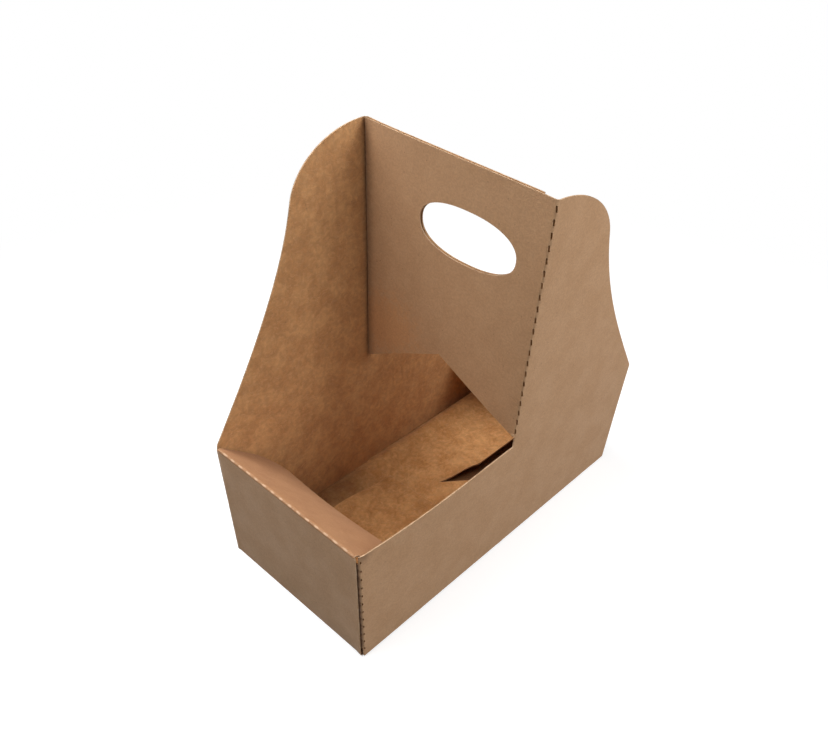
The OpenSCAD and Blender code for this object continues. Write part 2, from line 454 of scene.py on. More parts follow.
    def _solid(self, name: str, points: np.ndarray, triangles: np.ndarray, pits: np.ndarray, place: Place,
               lifts: tuple[float, float]) -> bpy.types.Object:
        """Builds the two faces of the board, the cut edge between them and the bottoms of blind slits.

        Args:
            name: Name of the new piece.
            points: Flat points.
            triangles: Faces of both sides.
            pits: Faces at the bottoms of blind slits.
            place: Turns flat places and lifts into points.
            lifts: Lift of the outer and of the inner face.

        Returns:
            The new object.
        """
        count = len(points)
        open_sides = {}
        for tri in triangles.tolist():
            for a, b in ((tri[0], tri[1]), (tri[1], tri[2]), (tri[2], tri[0])):
                if (b, a) in open_sides:
                    del open_sides[(b, a)]
                else:
                    open_sides[(a, b)] = True
        rim = list(open_sides)
        middles = np.array([(points[a] + points[b]) / 2 for a, b in rim])
        rim_surface = np.full(len(rim), Surface.EDGE.value)
        for cut in self.cuts:
            near = self._distance(middles, [np.array(cut.outline)]) < 0.02 * MM
            rim_surface[near] = cut.surface.value
        faces = triangles.tolist()
        faces += (triangles[:, ::-1] + count).tolist()
        faces += [(a, a + count, b + count, b) for a, b in rim]
        faces += (pits[:, ::-1] + count).tolist()
        surfaces = [Surface.OUTER.value] * len(triangles) + [Surface.INNER.value] * len(triangles)
        surfaces += rim_surface.tolist() + [Surface.SLIT.value] * len(pits)
        s, v = points.T
        outer = place(s, v, np.full(count, lifts[0]))
        inner = place(s, v, np.full(count, lifts[1]))
        data = bpy.data.meshes.new(name)
        data.from_pydata(np.concatenate([outer, inner]).tolist(), [], faces)
        data.polygons.foreach_set("material_index", surfaces)
        data.polygons.foreach_set("use_smooth", [True] * len(faces))
        rim_sides = {tuple(sorted(side)) for side in rim}
        rim_sides |= {(a + count, b + count) for a, b in rim_sides}
        sharp = [tuple(sorted(e.vertices)) in rim_sides for e in data.edges]
        data.attributes.new("sharp_edge", "BOOLEAN", "EDGE").data.foreach_set("value", sharp)
        blank = np.zeros((2 * count, 3), np.float32)
        blank[:, 0], blank[:, 1] = np.tile(s, 2), np.tile(v, 2)
        data.attributes.new("blank", "FLOAT_VECTOR", "POINT").data.foreach_set("vector", blank.ravel())
        loops = [np.array(self.outline)] + [np.array(cut.outline) for cut in self.cuts]
        self._number(data, "rim", self._distance(points, loops) / self.rim_reach)
        # The shade marks carry painted shade, and the stain mark carries a stain with painted bounce light.
        for key, lines in (("fold", self.folds), ("shade", self.painted_shades), ("stain", self.stains_and_bounce_light)):
            near = [line.share(points) for line in lines]
            self._number(data, key, np.minimum.reduce([*near, np.full(count, 9.0)]))
        data.validate()
        piece = bpy.data.objects.new(name, data)
        bpy.context.scene.collection.objects.link(piece)
        return piece

    @staticmethod
    def _number(data: bpy.types.Mesh, name: str, values: np.ndarray) -> None:
        """Stores a number at each point of both faces."""
        both = np.tile(values, 2).astype(np.float32)
        data.attributes.new(name, "FLOAT", "POINT").data.foreach_set("value", both)


class Graph:
    """A node tree, with short calls that place and link its nodes."""

    def __init__(self, tree: bpy.types.NodeTree) -> None:
        """Empties the tree and keeps it."""
        self.tree = tree
        tree.nodes.clear()

    def add(self, kind: str, inputs: dict | None = None, **settings: object) -> bpy.types.Node:
        """Places a node.

        Args:
            kind: Name of the node's class, without its ShaderNode prefix.
            inputs: Value or source socket for each input, by name or number.
            settings: Properties of the node.

        Returns:
            The new node.
        """
        node = self.tree.nodes.new("ShaderNode" + kind)
        for key, value in settings.items():
            setattr(node, key, value)
        for key, value in (inputs or {}).items():
            if isinstance(value, bpy.types.NodeSocket):
                self.tree.links.new(value, node.inputs[key])
            else:
                node.inputs[key].default_value = value
        return node

    def sum(self, operation: str, *numbers: object) -> bpy.types.NodeSocket:
        """The result of a math node on its one to three numbers."""
        return self.add("Math", dict(enumerate(numbers)), operation=operation).outputs[0]

    def ramp(self, value: bpy.types.NodeSocket, low: float, high: float, to_low: float = 0.0,
             to_high: float = 1.0) -> bpy.types.NodeSocket:
        """The value eased from the range low to high onto another range."""
        inputs = {"Value": value, "From Min": low, "From Max": high, "To Min": to_low, "To Max": to_high}
        return self.add("MapRange", inputs, interpolation_type="SMOOTHSTEP").outputs[0]

    def blend(self, share: object, a: object, b: object, how: str = "MIX") -> bpy.types.NodeSocket:
        """A mix of two colours."""
        return self.add("Mix", {0: share, 6: a, 7: b}, data_type="RGBA", blend_type=how).outputs[2]

    def noise(self, place: bpy.types.NodeSocket, scale: object, detail: float = 3.0,
              rough: float = 0.55) -> bpy.types.NodeSocket:
        """Cloudy noise at a place."""
        inputs = {"Vector": place, "Scale": scale, "Detail": detail, "Roughness": rough}
        return self.add("TexNoise", inputs).outputs[0]

    def attribute(self, name: str) -> bpy.types.Node:
        """A value that the board's meshes carry."""
        return self.add("Attribute", attribute_name=name)


class SharedEffect:
    """A shader node group that several finishes use, each with its own values."""

    def __init__(self, name: str, inputs: dict[str, float], outputs: Sequence[str]) -> None:
        """Makes an empty group with number sockets.

        Args:
            name: Name of the node group.
            inputs: Names and usual values of the inputs.
            outputs: Names of the outputs.
        """
        self.tree = bpy.data.node_groups.new(name, "ShaderNodeTree")
        for key, value in inputs.items():
            socket = self.tree.interface.new_socket(key, in_out="INPUT", socket_type="NodeSocketFloat")
            socket.default_value = value
        for key in outputs:
            self.tree.interface.new_socket(key, in_out="OUTPUT", socket_type="NodeSocketFloat")
        self.graph = Graph(self.tree)
        self.given = self.tree.nodes.new("NodeGroupInput").outputs
        self.result = self.tree.nodes.new("NodeGroupOutput")

    def put_out(self, name: str, value: bpy.types.NodeSocket) -> None:
        """Links a value to one of the outputs."""
        self.tree.links.new(value, self.result.inputs[name])

    def place(self, graph: Graph, values: dict[str, float]) -> dict[str, bpy.types.NodeSocket]:
        """Places the group in a material.

        Args:
            graph: The material's nodes.
            values: Value of each input, by name.

        Returns:
            The outputs by name.
        """
        node = graph.tree.nodes.new("ShaderNodeGroup")
        node.node_tree = self.tree
        for key, value in values.items():
            node.inputs[key].default_value = value
        return {socket.name: socket for socket in node.outputs}


class PulpEffect(SharedEffect):
    """Pulp of the liner: soft clouds, short fibres that lie every way, flecks and a fine grain."""

    FIBRE_TURNS = (0.15, 1.2, 2.3, 2.95)
    FIBRE_STRETCH = (0.34, 1.15, 1.0)

    def __init__(self) -> None:
        """Builds the group's nodes, which read the flat place in millimetres."""
        usual = {"Cloud size": 9.0, "Fibre size": 1.0, "Fleck share": 0.5, "Grain size": 1.0}
        super().__init__("board_pulp", usual, ["Cloud", "Fibre", "Fleck", "Grain"])
        g = self.graph
        flat = g.add("VectorMath", {0: g.attribute("blank").outputs["Vector"], "Scale": 1 / MM},
                     operation="SCALE").outputs[0]
        swirl = g.add("TexNoise", {"Vector": flat, "Scale": 0.22, "Detail": 2.0}).outputs["Color"]
        drift = g.add("VectorMath", {0: swirl, "Scale": 4.0}, operation="SCALE").outputs[0]
        moved = g.add("VectorMath", {0: flat, 1: drift}).outputs[0]
        cloud = g.noise(moved, g.sum("DIVIDE", 1.0, self.given["Cloud size"]), 4.0, 0.58)
        self.put_out("Cloud", g.ramp(cloud, 0.32, 0.68))
        fibre_scale = g.sum("DIVIDE", 1.0, self.given["Fibre size"])
        strands = None
        for number, turn in enumerate(self.FIBRE_TURNS):
            lie = g.add("Mapping", {"Vector": moved, "Location": (7.3 * number, 0, 0),
                                    "Rotation": (0, 0, turn), "Scale": self.FIBRE_STRETCH}).outputs[0]
            strand = g.ramp(g.noise(lie, fibre_scale, 1.5, 0.5), 0.58, 0.7)
            strands = strand if strands is None else g.sum("MAXIMUM", strands, strand)
        patches = g.ramp(g.noise(flat, 0.35, 2.0), 0.35, 0.65, 0.35, 1.0)
        self.put_out("Fibre", g.sum("MULTIPLY", strands, patches))
        cells = g.add("TexVoronoi", {"Vector": flat, "Scale": 0.42})
        near = g.ramp(cells.outputs["Distance"], 0.05, 0.16, 1.0, 0.0)
        chosen = g.add("SeparateColor", {0: cells.outputs["Color"]}).outputs[0]
        self.put_out("Fleck", g.sum("MULTIPLY", near, g.sum("LESS_THAN", chosen, self.given["Fleck share"])))
        self.put_out("Grain", g.noise(moved, g.sum("DIVIDE", 1.0, self.given["Grain size"]), 3.0, 0.6))


class WearAndPaintedLightEffect(SharedEffect):
    """Bared fibre at edges and folds, painted shade in seams, creases and under the flaps, and a stain that also
    paints bounce light, from distances that the meshes carry.
    """

    def __init__(self) -> None:
        """Builds the group's nodes."""
        ragged = {"Rim": (1.4, 0.9), "Fold": (0.9, 0.9), "Shade": (0.25, 0.5), "Stain": (1.6, 0.35)}
        super().__init__("board_wear", {"Ragged": 1.0}, list(ragged))
        g = self.graph
        for key, (amount, scale) in ragged.items():
            fray = g.noise(g.attribute("blank").outputs["Vector"], scale / MM, 3.0, 0.6)
            fray = g.sum("MULTIPLY", g.sum("MULTIPLY_ADD", fray, amount, -amount / 2), self.given["Ragged"])
            share = g.sum("ADD", g.attribute(key.lower()).outputs["Fac"], fray)
            self.put_out(key, g.ramp(share, 0.2, 1.0, 1.0, 0.0))


@dataclass(frozen=True)
class Liner:
    """One face of the board."""

    name: str
    base: Colour
    shade: Colour
    strand: Colour
    cloud_size: float
    cloud_depth: float
    fibre_size: float
    fibre_depth: float
    grain_size: float
    grain_depth: float
    fleck_share: float
    rim_depth: float
    fold_depth: float
    roughness: float
    bump: float
    fleck_depth: float = 0.45
    fleck: Colour = srgb(92, 62, 38)
    # Dark brown of the painted shade marks.
    painted_shade: Colour = srgb(78, 46, 24)
    # Orange tone of a stain that also paints bounce light from the inner liner.
    stain_and_bounce_light: Colour = srgb(192, 142, 98)
    bared: Colour = srgb(206, 174, 138)

    def material(self, pulp: PulpEffect, wear_and_painted_light: WearAndPaintedLightEffect) -> bpy.types.Material:
        """Builds the liner's material.

        Args:
            pulp: The shared pulp effect.
            wear_and_painted_light: The shared effect of bared fibre, stain and painted light.

        Returns:
            The material.
        """
        made = bpy.data.materials.new(self.name)
        made.use_nodes = True
        g = Graph(made.node_tree)
        seen = pulp.place(g, {"Cloud size": self.cloud_size, "Fibre size": self.fibre_size,
                              "Fleck share": self.fleck_share, "Grain size": self.grain_size})
        wear_and_painted_light_masks = wear_and_painted_light.place(g, {})
        colour = g.blend(g.sum("MULTIPLY", seen["Cloud"], self.cloud_depth), self.base, self.shade)
        colour = g.blend(g.sum("MULTIPLY", seen["Fibre"], self.fibre_depth), colour, self.strand)
        # A stain that also paints orange bounce light.
        colour = g.blend(g.sum("MULTIPLY", wear_and_painted_light_masks["Stain"], 0.85), colour, self.stain_and_bounce_light)
        level = g.ramp(seen["Grain"], 0.3, 0.7, 1 - self.grain_depth, 1 + self.grain_depth)
        grey = g.add("CombineColor", {0: level, 1: level, 2: level}).outputs[0]
        colour = g.blend(1.0, colour, grey, "MULTIPLY")
        colour = g.blend(g.sum("MULTIPLY", seen["Fleck"], self.fleck_depth), colour, self.fleck)
        colour = g.blend(g.sum("MULTIPLY", wear_and_painted_light_masks["Fold"], self.fold_depth), colour, self.bared)
        colour = g.blend(g.sum("MULTIPLY", wear_and_painted_light_masks["Rim"], self.rim_depth), colour, self.bared)
        # Painted shade: darkens towards dark brown where the meshes carry shade marks.
        colour = g.blend(g.sum("MULTIPLY", wear_and_painted_light_masks["Shade"], 0.85), colour, self.painted_shade)
        rough = g.sum("MULTIPLY_ADD", seen["Cloud"], 0.08, self.roughness)
        relief = g.sum("MULTIPLY_ADD", seen["Fibre"], 0.5, seen["Grain"])
        relief = g.sum("MULTIPLY_ADD", seen["Cloud"], 0.9, relief)
        bump = g.add("Bump", {"Strength": self.bump, "Distance": 0.22 * MM, "Height": relief}).outputs[0]
        board = g.add("BsdfPrincipled", {"Base Color": colour, "Roughness": rough, "Normal": bump,
                                         "Specular IOR Level": 0.28, "Sheen Weight": 0.05,
                                         "Sheen Roughness": 0.5})
        g.add("OutputMaterial", {"Surface": board.outputs[0]})
        return made


@dataclass(frozen=True)
class CutFace:
    """Bare pulp where the board was cut."""

    name: str
    base: Colour
    shade: Colour
    roughness: float = 0.85

    def material(self) -> bpy.types.Material:
        """Builds the material, with layered patches and torn fibres."""
        made = bpy.data.materials.new(self.name)
        made.use_nodes = True
        g = Graph(made.node_tree)
        spot = g.add("TexCoord").outputs["Object"]
        fuzz = g.noise(spot, 1.5 / MM, 4.0, 0.7)
        patches = g.noise(spot, 0.21 / MM, 3.0, 0.6)
        colour = g.blend(g.ramp(g.sum("ADD", fuzz, patches), 0.75, 1.25), self.base, self.shade)
        bump = g.add("Bump", {"Strength": 0.5, "Distance": 0.3 * MM, "Height": fuzz}).outputs[0]
        board = g.add("BsdfPrincipled", {"Base Color": colour, "Roughness": self.roughness, "Normal": bump,
                                         "Specular IOR Level": 0.15})
        g.add("OutputMaterial", {"Surface": board.outputs[0]})
        return made


class BoardFinish:
    """The four surfaces of the kraft board, in the order of Surface."""

    OUTER = Liner("smooth_outer_liner", base=srgb(186, 146, 109), shade=srgb(176, 136, 99),
                  strand=srgb(196, 160, 126), cloud_size=12.0, cloud_depth=0.55, fibre_size=0.9,
                  fibre_depth=0.2, grain_size=0.9, grain_depth=0.08, fleck_share=0.2, rim_depth=0.12,
                  fold_depth=0.1, roughness=0.62, bump=0.16)
    INNER = Liner("mottled_inner_liner", base=srgb(196, 144, 91), shade=srgb(169, 116, 66),
                  strand=srgb(214, 164, 116), cloud_size=9.0, cloud_depth=0.85, fibre_size=1.0,
                  fibre_depth=0.3, grain_size=2.4, grain_depth=0.13, fleck_share=0.3, rim_depth=0.15,
                  fold_depth=0.08, roughness=0.76, bump=0.7)
    # The roll-over flaps get a darker copy of the outer liner, as painted shade.
    ROLLED = Liner("warm_flap_liner", base=srgb(162, 118, 81), shade=srgb(150, 106, 72),
                   strand=srgb(190, 148, 110), cloud_size=12.0, cloud_depth=0.6, fibre_size=0.9,
                   fibre_depth=0.16, grain_size=0.9, grain_depth=0.04, fleck_share=0.08, rim_depth=0.2,
                   fold_depth=0.62, roughness=0.62, bump=0.16, bared=srgb(226, 196, 164))
    EDGE = CutFace("pale_cut_edge", base=srgb(192, 162, 132), shade=srgb(162, 130, 100))
    # Slit walls and blind slit floors are darker pulp pressed by the die, and partly painted shade in the
    # perforations.
    SLIT = CutFace("crushed_slit", base=srgb(168, 128, 90), shade=srgb(140, 100, 66))

    def __init__(self) -> None:
        """Builds the shared effects and the four materials."""
        pulp, wear_and_painted_light = PulpEffect(), WearAndPaintedLightEffect()
        self.rolled = self.ROLLED.material(pulp, wear_and_painted_light)
        self.materials = [self.OUTER.material(pulp, wear_and_painted_light), self.INNER.material(pulp, wear_and_painted_light),
                          self.EDGE.material(), self.SLIT.material()]

    def dress(self, piece: bpy.types.Object, rolled: bool = False) -> None:
        """Gives a piece the four surfaces, or the roll-over flaps' own in place of the outer liner."""
        outer, *others = self.materials
        for made in (self.rolled if rolled else outer, *others):
            piece.data.materials.append(made)


@dataclass
class HalfSheet:
    """One half of the sheet: a side wall with its ear, a handle panel, an end panel and a glue tab.

    It is drawn as it lies in the blank. There s runs along the wall from the handle's crease, positive
    towards the ear's end panel, and v is the height. The second half is the first after half a turn.
    """

    tray: Tray
    settling: Settling
    name: str
    turned: bool
    grip_side: float
    foot_step: float
    wall_dips: Point
    free_short: float
    fold_radius: float = 0.5 * MM
    bottom_radius: float = 0.8 * MM
    front_rise: float = 0.7 * MM
    shoulder_reach: float = 44.5 * MM
    shoulder_drop: float = 25.5 * MM
    shoulder_lean: float = 14.5
    crown_pull: float = 22 * MM
    shoulder_pull: float = 14.5 * MM
    waist_pull: float = 33.5 * MM
    corner_pull: float = 34 * MM
    corner_slope: float = 53.0
    grip_length: float = 50.5 * MM
    grip_height: float = 22.8 * MM
    grip_drop: float = 30.2 * MM
    grip_squareness: float = 2.3
    tab_width: float = 18 * MM
    tab_drop: float = 3.5 * MM
    tab_lift: float = 7 * MM
    tab_slant: float = 4 * MM
    cut_pitch: float = 5.2 * MM
    crease_slit: Point = (0.42 * MM, 2.7 * MM)
    crease_slit_lean: float = 0.1 * MM
    tab_slit: Point = (0.45 * MM, 1.4 * MM)
    skin: tuple[float, float] = (0.5 * MM, -0.1 * MM)

    @property
    def mid_width(self) -> float:
        """Distance from the middle line to the wall's mid-thickness."""
        return self.tray.half_width - self.tray.board / 2

    @property
    def corner_start(self) -> float:
        """Where the wall starts to round into the end panel."""
        return self.tray.half_length - self.tray.board / 2 - self.fold_radius

    @property
    def tab_start(self) -> float:
        """How far forward the wall starts to round into the glue tab."""
        return self.tray.hinge_x - self.tray.board / 2 - self.fold_radius

    @property
    def handle_start(self) -> float:
        """Where the ear starts to round into the handle panel."""
        return self.fold_radius - self.tray.board / 2

    @property
    def arc(self) -> float:
        """Length of board in one rounded upright fold."""
        return self.fold_radius * math.pi / 2

    def _past_fold(self, side: float) -> float:
        """Board from the start of a fold to a distance from the middle line on the next panel."""
        return side + self.mid_width - self.fold_radius + self.arc

    def _on_handle(self, side: float) -> float:
        """Flat place of a distance from the middle line on the handle panel."""
        return self.handle_start - self._past_fold(side)

    def place(self, s: np.ndarray, v: np.ndarray, lift: np.ndarray) -> np.ndarray:
        """Folds flat places of the half sheet into the tray.

        Args:
            s: Places along the blank.
            v: Heights on the blank.
            lift: Lift off mid-thickness, outwards.

        Returns:
            The points of the settled tray.
        """
        reach, inward, angle = round_fold(s - self.corner_start, self.fold_radius)
        x, y = self.corner_start + reach, inward - self.mid_width
        facing_x, facing_y = np.sin(angle), -np.cos(angle)
        tab_reach, tab_inward, tab_angle = round_fold(-s - self.tab_start, self.fold_radius)
        grip_reach, grip_inward, grip_angle = round_fold(self.handle_start - s, self.fold_radius)
        on_handle = (v > self.tray.foot_height + 0.01 * MM) & (s < self.handle_start)
        for chosen, ahead, across, turn in (
            ((s < 0) & ~on_handle, -self.tab_start - tab_reach, tab_inward, tab_angle),
            (on_handle, self.handle_start - grip_reach, grip_inward, grip_angle),
        ):
            x, y = np.where(chosen, ahead, x), np.where(chosen, across - self.mid_width, y)
            facing_x = np.where(chosen, -np.sin(turn), facing_x)
            facing_y = np.where(chosen, -np.cos(turn), facing_y)
        bend = self.tray.board / 2 + self.bottom_radius
        down, under, tip = round_fold(bend - v, self.bottom_radius)
        level = np.cos(tip) * lift - under
        points = np.stack([x + facing_x * level, y + facing_y * level, bend - down - np.sin(tip) * lift], axis=1)
        if self.turned:
            points[:, :2] *= -1
        return self.settling.apply(points)

    def _ear(self) -> list[Point]:
        """Edge of the ear, from the end panel's corner up to the handle's crease.

        Returns:
            The points of the edge.
        """
        tray = self.tray
        shoulder = (self.shoulder_reach, tray.handle_height - self.shoulder_drop)
        tilt, slope = math.radians(self.shoulder_lean), math.radians(self.corner_slope)
        lean = (math.sin(tilt), -math.cos(tilt))
        corner = (tray.half_length, tray.wall_height)
        flank = cubic(
            corner, (corner[0] - self.corner_pull * math.cos(slope), corner[1] + self.corner_pull * math.sin(slope)),
            (shoulder[0] + self.waist_pull * lean[0], shoulder[1] + self.waist_pull * lean[1]), shoulder)
        crown = cubic(
            shoulder, (shoulder[0] - self.shoulder_pull * lean[0], shoulder[1] - self.shoulder_pull * lean[1]),
            (self.crown_pull, tray.handle_height), (-tray.board, tray.handle_height))
        return flank + crown[1:]

    def _low_edge(self, front: float) -> list[Point]:
        """Dipped edge of the low wall, from the handle's crease to the front.

        Args:
            front: How far forward it runs.

        Returns:
            The points of the edge.
        """
        foot = (-self.tray.board, self.tray.foot_height - self.foot_step)
        end = (-front, self.tray.wall_height + self.front_rise)
        pulls = [(foot[0] + (end[0] - foot[0]) * k / 3, foot[1] + (end[1] - foot[1]) * k / 3 - sag)
                 for k, sag in ((1, self.wall_dips[0]), (2, self.wall_dips[1]))]
        return [(-self.tray.board, self.tray.foot_height)] + cubic(foot, pulls[0], pulls[1], end)

    def outline(self) -> list[Point]:
        """Outline of the half sheet in the blank."""
        tray = self.tray
        floor_edge = tray.board / 2 + self.bottom_radius * (1 - math.pi / 2)
        front = self.tab_start + 0.7 * self.arc
        end = self.corner_start + self._past_fold(tray.half_width - tray.seam_gap)
        tab_root = -self.tab_start - self.arc
        tab_end = -self.tab_start - self._past_fold(self.tab_width - tray.half_width)
        tab_top = tray.wall_height - self.tab_drop
        free_edge = tray.inner_half_width - tray.panel_gap - self.free_short
        notch = [(self._on_handle(side), tray.notch_edge(side)) for side in (free_edge, 0.0)]
        return [
            (-front, floor_edge), (end, floor_edge), (end, tray.wall_height),
            *self._ear(),
            (self._on_handle(free_edge), tray.handle_height),
            *notch,
            *self._low_edge(front),
            (-front, tab_top), (tab_root, tab_top), (tab_end, tab_top - self.tab_slant),
            (tab_end, self.tab_lift + self.tab_slant), (tab_root, self.tab_lift), (-front, self.tab_lift),
        ]

    def _slits(self, at: float, low: float, high: float, size: Point, lean: float = 0.0) -> list[Cut]:
        """A row of perforations along an upright crease, centred between two heights.

        Args:
            at: Place of the crease.
            low: Lowest height.
            high: Highest height.
            size: Width and height of a perforation.
            lean: How far an upper end leans.

        Returns:
            The cuts.
        """
        count = math.floor((high - low) / self.cut_pitch)
        first = (low + high - (count - 1) * self.cut_pitch) / 2
        return [Cut.slit((at, first + i * self.cut_pitch), *size, lean) for i in range(count)]

    def build(self, finish: BoardFinish) -> bpy.types.Object:
        """Builds the half sheet, dresses it and rides it on the carrier.

        Args:
            finish: Surfaces of the board.

        Returns:
            The new piece.
        """
        tray = self.tray
        grip = (self._on_handle(self.grip_side), tray.handle_height - self.grip_drop)
        handle_fold = self.handle_start - self.arc / 2
        tab_fold = -self.tab_start - self.arc / 2
        tab_top = tray.wall_height - self.tab_drop
        cuts = [Cut(oval(grip, self.grip_length, self.grip_height, self.grip_squareness))]
        cuts += self._slits(handle_fold - 0.05 * MM, tray.foot_height, tray.handle_height, self.crease_slit,
                            -self.crease_slit_lean)
        cuts += self._slits(-self.tab_start, self.tab_lift / 2, tab_top + self.tab_slant, self.tab_slit)
        folds = [
            Fold(Along.COLUMN, handle_fold, tray.foot_height, tray.handle_height),
            Fold(Along.COLUMN, self.corner_start + self.arc / 2, 0.0, tray.wall_height),
            Fold(Along.COLUMN, tab_fold, 0.0, tray.wall_height),
            Fold(Along.ROW, tray.board / 2 + self.bottom_radius * (1 - math.pi / 4), -tray.length, tray.length),
        ]
        # Painted shade in the seam at the glue tab.
        painted_shades = [Fold(Along.COLUMN, tab_fold - 1.0 * MM, 0.0, tray.wall_height, reach=1.5 * MM)]
        if self.turned:
            # Painted shade along the ear's crease with the handle panel.
            painted_shades.append(Fold(Along.COLUMN, 0.0, tray.wall_height, tray.handle_height,
                               reach=8 * MM, faint=0.42))
            stains_and_bounce_light = []
        else:
            free = self._on_handle(tray.inner_half_width)
            # Painted shade along the near ply's free edge, by the crease with the other ear.
            painted_shades.append(Fold(Along.COLUMN, free, tray.wall_height, tray.handle_height,
                               reach=13 * MM, faint=0.5))
            # A stain on the near ply that also paints orange bounce light.
            stains_and_bounce_light = [Fold(Along.ROW, tray.peak_height, free, free + 18 * MM, reach=22 * MM)]
        piece = Blank(self.outline(), cuts, folds, painted_shades, stains_and_bounce_light).mesh(self.name, self.place, self.skin)
        finish.dress(piece)
        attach(piece, "carrier")
        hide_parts("carrier_sheet")
        return piece


@dataclass
class RollOverFlap:
    """A roll-over flap with its rounded crease, drawn with u across it and v out from its hinge line."""

    tray: Tray
    name: str
    body: str
    node: str
    turned: bool
    reach: float = 35 * MM
    corner: float = 14 * MM
    slope: float = 38.0
    side_gap: float = 2.6 * MM
    wrap: float = 166.0
    droop: float = 2.4 * MM
    cut_pitch: float = 5.7 * MM
    mark_length: float = 1.9 * MM
    mark_turn: float = 72.0

    def place(self, u: np.ndarray, v: np.ndarray, lift: np.ndarray) -> np.ndarray:
        """Rolls flat places of the flap round its hinge line and out at its slope.

        Args:
            u: Places across the flap.
            v: Places out from the hinge line, negative round the crease.
            lift: Lift off the lower face.

        Returns:
            The points of the flap at rest.
        """
        tray = self.tray
        slope = math.radians(self.slope)
        out = np.maximum(v, 0)
        turn = slope - np.maximum(-v, 0) / tray.board
        share = out / self.reach
        sag = self.droop * share * share * (0.4 + 0.6 * np.cos(math.pi * u / tray.width) ** 2)
        height = lift - sag
        x = -tray.hinge_x + out * math.cos(slope) + height * np.sin(turn)
        z = tray.wall_height - out * math.sin(slope) + height * np.cos(turn)
        points = np.stack([x, -u, z], axis=1)
        if self.turned:
            points[:, :2] *= -1
        return points

    def outline(self) -> list[Point]:
        """Outline of the flap, from the hidden end of its crease to its two round corners."""
        half = self.tray.inner_half_width - self.side_gap
        hidden = -math.radians(self.wrap) * self.tray.board
        inner, outer = half - self.corner, self.reach - self.corner
        turns = [math.radians(a) for a in range(0, 91, 6)]
        right = [(inner + self.corner * math.cos(a), outer + self.corner * math.sin(a)) for a in turns]
        left = [(-u, v) for u, v in reversed(right)]
        return [(-half, hidden), (half, hidden), *right, *left]

    def build(self, finish: BoardFinish) -> bpy.types.Object:
        """Builds the flap, dresses it and rides it on its own body.

        Args:
            finish: Surfaces of the board.

        Returns:
            The new piece.
        """
        board = self.tray.board
        width = 2 * (self.tray.inner_half_width - self.side_gap)
        count = math.floor(width / self.cut_pitch)
        crease = -math.radians(self.mark_turn) * board
        folds = [Fold(Along.ROW, crease, -width, width, reach=0.7 * MM, faint=0.62)]
        for i in range(count):
            middle = (i - (count - 1) / 2) * self.cut_pitch
            low, high = middle - self.mark_length / 2, middle + self.mark_length / 2
            folds.append(Fold(Along.ROW, crease, low, high, reach=0.6 * MM))
        blank = Blank(self.outline(), [], folds, spacing=0.95 * MM, fold_step=0.17 * MM, fold_reach=1.53 * MM)
        piece = blank.mesh(self.name, self.place, (board, 0.4 * board))
        finish.dress(piece, rolled=True)
        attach(piece, self.body)
        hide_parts(self.node)
        return piece


